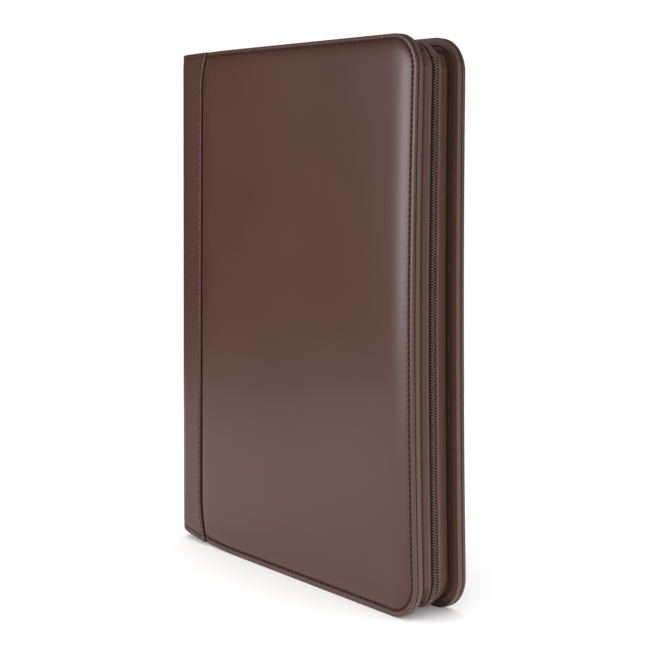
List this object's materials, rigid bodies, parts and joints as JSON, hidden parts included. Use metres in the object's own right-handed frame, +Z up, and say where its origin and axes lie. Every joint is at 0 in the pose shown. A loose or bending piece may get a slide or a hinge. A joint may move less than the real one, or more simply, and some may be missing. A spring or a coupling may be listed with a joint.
{
  "type": "zip portfolio",
  "caption": "Slim upright zip portfolio with padded leather covers, a wrapped spine, pleated side gussets and a zip round three sides.",
  "frame": {"origin": "middle of the footprint on the surface that the portfolio stands on", "axes": "+Z up along the height, +X from the spine to the zipped fore edge, -Y out of the front cover"},
  "size_m": [0.2673, 0.0452, 0.343],
  "materials": {
    "cover_leather": "smooth semi-gloss brown leather with a fine grain",
    "lining_leather": "matte dark-brown inner ply",
    "gusset_leather": "soft satin brown leather",
    "zip_tape": "woven dark-brown tape",
    "zip_coil": "satin brown nylon coil",
    "zip_metal": "dark bronze satin metal",
    "thread": "matte dark-brown sewing thread"
  },
  "bodies": {
    "root": {"front_cover": "cover_leather", "back_cover": "cover_leather", "front_lining": "lining_leather", "back_lining": "lining_leather", "spine": "cover_leather", "gusset_front": "gusset_leather", "gusset_back": "gusset_leather", "zip_tape_front": "zip_tape", "zip_tape_back": "zip_tape", "zip_coil": "zip_coil", "zip_slider": "zip_metal"}
  },
  "joints": []
}
